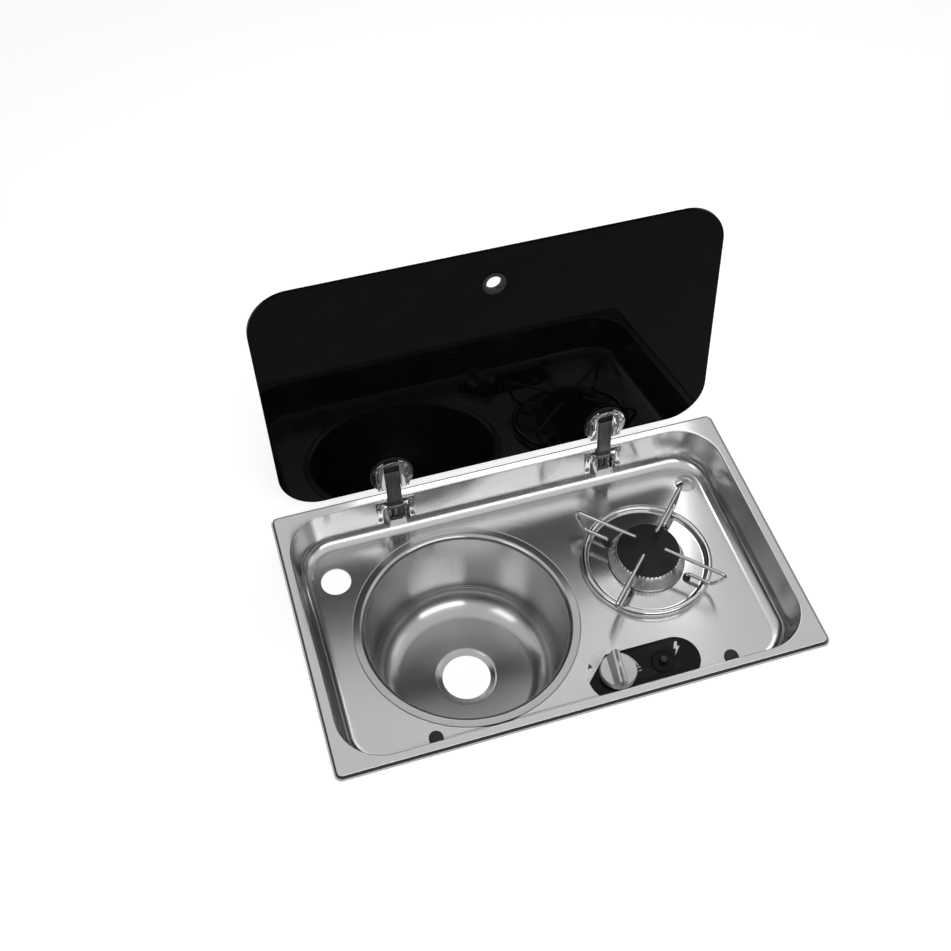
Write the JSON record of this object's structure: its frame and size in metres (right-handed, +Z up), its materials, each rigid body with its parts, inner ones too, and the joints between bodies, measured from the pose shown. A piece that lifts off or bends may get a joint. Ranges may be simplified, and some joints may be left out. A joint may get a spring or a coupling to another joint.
{
  "type": "hob and sink combination",
  "caption": "Drop-in pressed steel tray with a round sink bowl and a gas burner under a black glass lid that tilts up and slides on two hinges",
  "frame": {"origin": "Centre of the underside of the outer lip, the plane that rests on the worktop", "axes": "+X along the width to the burner side, +Y to the hinged rear edge, +Z up out of the worktop"},
  "size_m": [0.56, 0.3826, 0.4999],
  "materials": {
    "satin_steel": "satin stainless",
    "polished_steel": "mirror-polished stainless",
    "chrome": "bright plated",
    "cast_aluminium": "machined casting",
    "black_enamel": "matt black enamel",
    "zinc_steel": "zinc plated",
    "dark_steel": "dark satin finish",
    "brass": "turned",
    "copper": "drawn copper",
    "ceramic": "glazed ceramic",
    "rubber": "matt black",
    "black_gloss": "gloss black print",
    "black_plastic": "satin black",
    "silver_paint": "silver satin paint",
    "white_plastic": "white",
    "red_plastic": "dark red",
    "black_glass": "black, toughened, gloss"
  },
  "bodies": {
    "hob_sink": {"tray": "satin_steel", "bowl": "satin_steel", "lid_rests": "rubber", "burner_dish": "polished_steel", "burner_cup": "cast_aluminium", "burner_carrier": "satin_steel", "burner_crown": "cast_aluminium", "burner_cap": "black_enamel", "mixing_tube": "cast_aluminium", "gas_injector": "brass", "ignition_electrode": "ceramic", "thermocouple": "copper", "pan_fingers": "polished_steel", "pan_feet": "rubber", "retaining_washer": "polished_steel", "retaining_screw": "zinc_steel", "control_panel": "black_gloss", "gas_valve": "brass", "valve_nut": "zinc_steel", "valve_spring": "zinc_steel", "igniter_body": "black_plastic", "igniter_nut": "zinc_steel", "ignition_lead": "black_plastic", "thermocouple_lead": "copper", "burner_pipe": "copper", "inlet_pipe": "copper", "pipe_nuts": "brass", "hinge_brackets": "chrome", "hinge_pins": "zinc_steel", "hinge_springs": "dark_steel", "bracket_screws": "zinc_steel"},
    "spindle_guide": {"spindle_collar": "brass"},
    "knob_turner": {"knob": "silver_paint", "knob_inlay": "white_plastic", "valve_spindle": "brass"},
    "button": {"igniter_button": "red_plastic"},
    "arms": {"hinge_arms": "dark_steel"},
    "lid": {"lid_glass": "black_glass", "lid_grommet": "rubber", "clamp_fronts": "chrome", "clamp_pads": "rubber", "clamp_backs": "chrome", "clamp_screws": "zinc_steel"}
  },
  "joints": [
    {"name": "knob_push", "type": "slide", "parent": "hob_sink", "child": "spindle_guide", "axis": [0, 0, -1], "range_m": [0, 0.003], "stiffness_N_per_m": 600, "springref_m": -0.003, "deforming": ["valve_spring"]},
    {"name": "knob_turn", "type": "hinge", "parent": "spindle_guide", "child": "knob_turner", "pos_m": [0.053, -0.116, -0.035], "axis": [0, 0, 1], "range_deg": [0, 210]},
    {"name": "igniter_push", "type": "slide", "parent": "hob_sink", "child": "button", "axis": [0, 0, -1], "range_m": [0, 0.0025], "stiffness_N_per_m": 900, "springref_m": -0.003},
    {"name": "lid_tilt", "type": "hinge", "parent": "hob_sink", "child": "arms", "pos_m": [0.132, 0.151, -0.00532], "axis": [1, 0, 0], "range_deg": [0, 99.1]},
    {"name": "lid_slide", "type": "slide", "parent": "arms", "child": "lid", "axis": [0, 0.1582, 0.9874], "range_m": [-0.0204, 0]}
  ],
  "couplings": [
    {"joint": "lid_slide", "follows": "lid_tilt", "m_per_rad": -0.011747}
  ]
}
